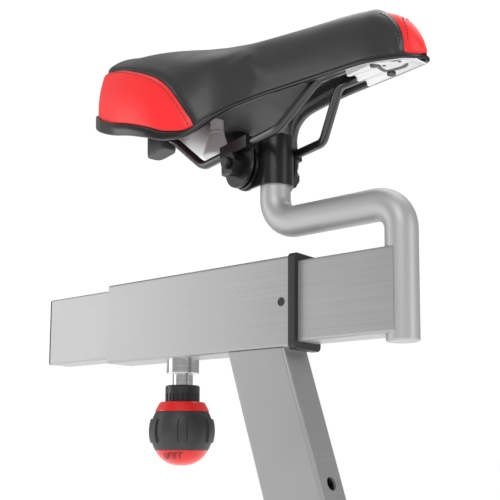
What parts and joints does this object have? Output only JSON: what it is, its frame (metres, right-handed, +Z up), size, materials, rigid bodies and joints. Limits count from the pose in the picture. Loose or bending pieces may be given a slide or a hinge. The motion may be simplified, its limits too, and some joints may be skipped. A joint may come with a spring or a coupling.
{
  "type": "spin bike seat assembly",
  "caption": "Adjustable seat assembly of an indoor spin bike: padded saddle on a clamp and bent tube, fore-aft slider in a sleeve on a leaning post, spring-loaded pull knob.",
  "frame": {"origin": "centre of the seat post's lower end, where it slides into the bike's frame", "axes": "+X forward towards the saddle's nose, +Y to the rider's left, +Z up"},
  "size_m": [0.4071, 0.1625, 0.5411],
  "materials": {
    "post_steel": "brushed, cross-grained on the post",
    "boss_steel": "bright turned steel",
    "slider_steel": "brushed along its length",
    "tube_paint": "satin silver",
    "spring_steel": "plain spring wire",
    "black_plastic": "satin moulded",
    "red_plastic": "satin red",
    "grip_rubber": "soft-touch",
    "black_steel": "black zinc",
    "rail_steel": "gloss black",
    "base_plastic": "moulded shell",
    "foam": "cut polyurethane foam",
    "black_vinyl": "fine-grained soft vinyl",
    "red_vinyl": "smooth soft vinyl",
    "silver_plate": "bright silver moulding"
  },
  "bodies": {
    "carriage": {"seat_post": "post_steel", "slider_sleeve": "post_steel", "knob_boss": "boss_steel", "post_end_plug": "black_plastic", "front_liner": "black_plastic", "rear_liner": "black_plastic"},
    "slider": {"slider_tube": "slider_steel", "slider_end_plug": "black_plastic", "gooseneck": "tube_paint", "tube_foot_cap": "tube_paint", "neck_cap": "black_plastic", "tube_welds": "tube_paint"},
    "clamp_collar": {"clamp_strap": "black_steel", "clamp_spacer": "black_steel"},
    "clamp_head": {"clamp_inner_left": "black_steel", "clamp_inner_right": "black_steel", "clamp_outer_left": "black_steel", "clamp_outer_right": "black_steel", "clamp_bolt": "black_steel", "clamp_washers": "black_steel", "clamp_nuts": "black_steel"},
    "saddle": {"saddle_rails": "rail_steel", "saddle_base": "base_plastic", "saddle_foam": "foam", "cover_top": "black_vinyl", "cover_rear": "red_vinyl", "cover_nose": "red_vinyl", "nose_plate": "silver_plate", "nose_screw": "black_steel"},
    "barrel": {"plunger_barrel": "boss_steel", "barrel_bush": "boss_steel"},
    "pin": {"plunger_pin": "boss_steel", "plunger_spring": "spring_steel", "knob_screw": "boss_steel"},
    "knob": {"knob_collar": "black_plastic", "knob_core": "black_plastic", "knob_ring": "red_plastic", "knob_grip": "grip_rubber", "knob_cap": "red_plastic"}
  },
  "joints": [
    {"name": "slider_travel", "type": "slide", "parent": "carriage", "child": "slider", "axis": [1, 0, 0], "range_m": [-0.056, 0.05]},
    {"name": "clamp_swivel", "type": "hinge", "parent": "slider", "child": "clamp_collar", "pos_m": [-0.07178, 0, 0.39215], "axis": [0, 0, 1], "range_deg": [-20, 20]},
    {"name": "saddle_tilt", "type": "hinge", "parent": "clamp_collar", "child": "clamp_head", "pos_m": [-0.08963, 0.00445, 0.39215], "axis": [-0.2419, -0.9703, 0], "range_deg": [-12, 12]},
    {"name": "saddle_fore_aft", "type": "slide", "parent": "clamp_head", "child": "saddle", "axis": [0.97, -0.2418, 0.0262], "range_m": [-0.012, 0.012]},
    {"name": "barrel_advance", "type": "slide", "parent": "carriage", "child": "barrel", "axis": [0, 0, -1], "range_m": [0, 0.0015]},
    {"name": "knob_pull", "type": "slide", "parent": "barrel", "child": "pin", "axis": [0, 0, -1], "range_m": [0, 0.008], "stiffness_N_per_m": 1500, "springref_m": -0.01, "deforming": ["plunger_spring"]},
    {"name": "knob_turn", "type": "hinge", "parent": "pin", "child": "knob", "pos_m": [-0.16748, 0, 0.19755], "axis": [0, 0, -1], "range_deg": [0, 360]}
  ],
  "couplings": [
    {"joint": "barrel_advance", "follows": "knob_turn", "m_per_rad": 0.00023873}
  ]
}
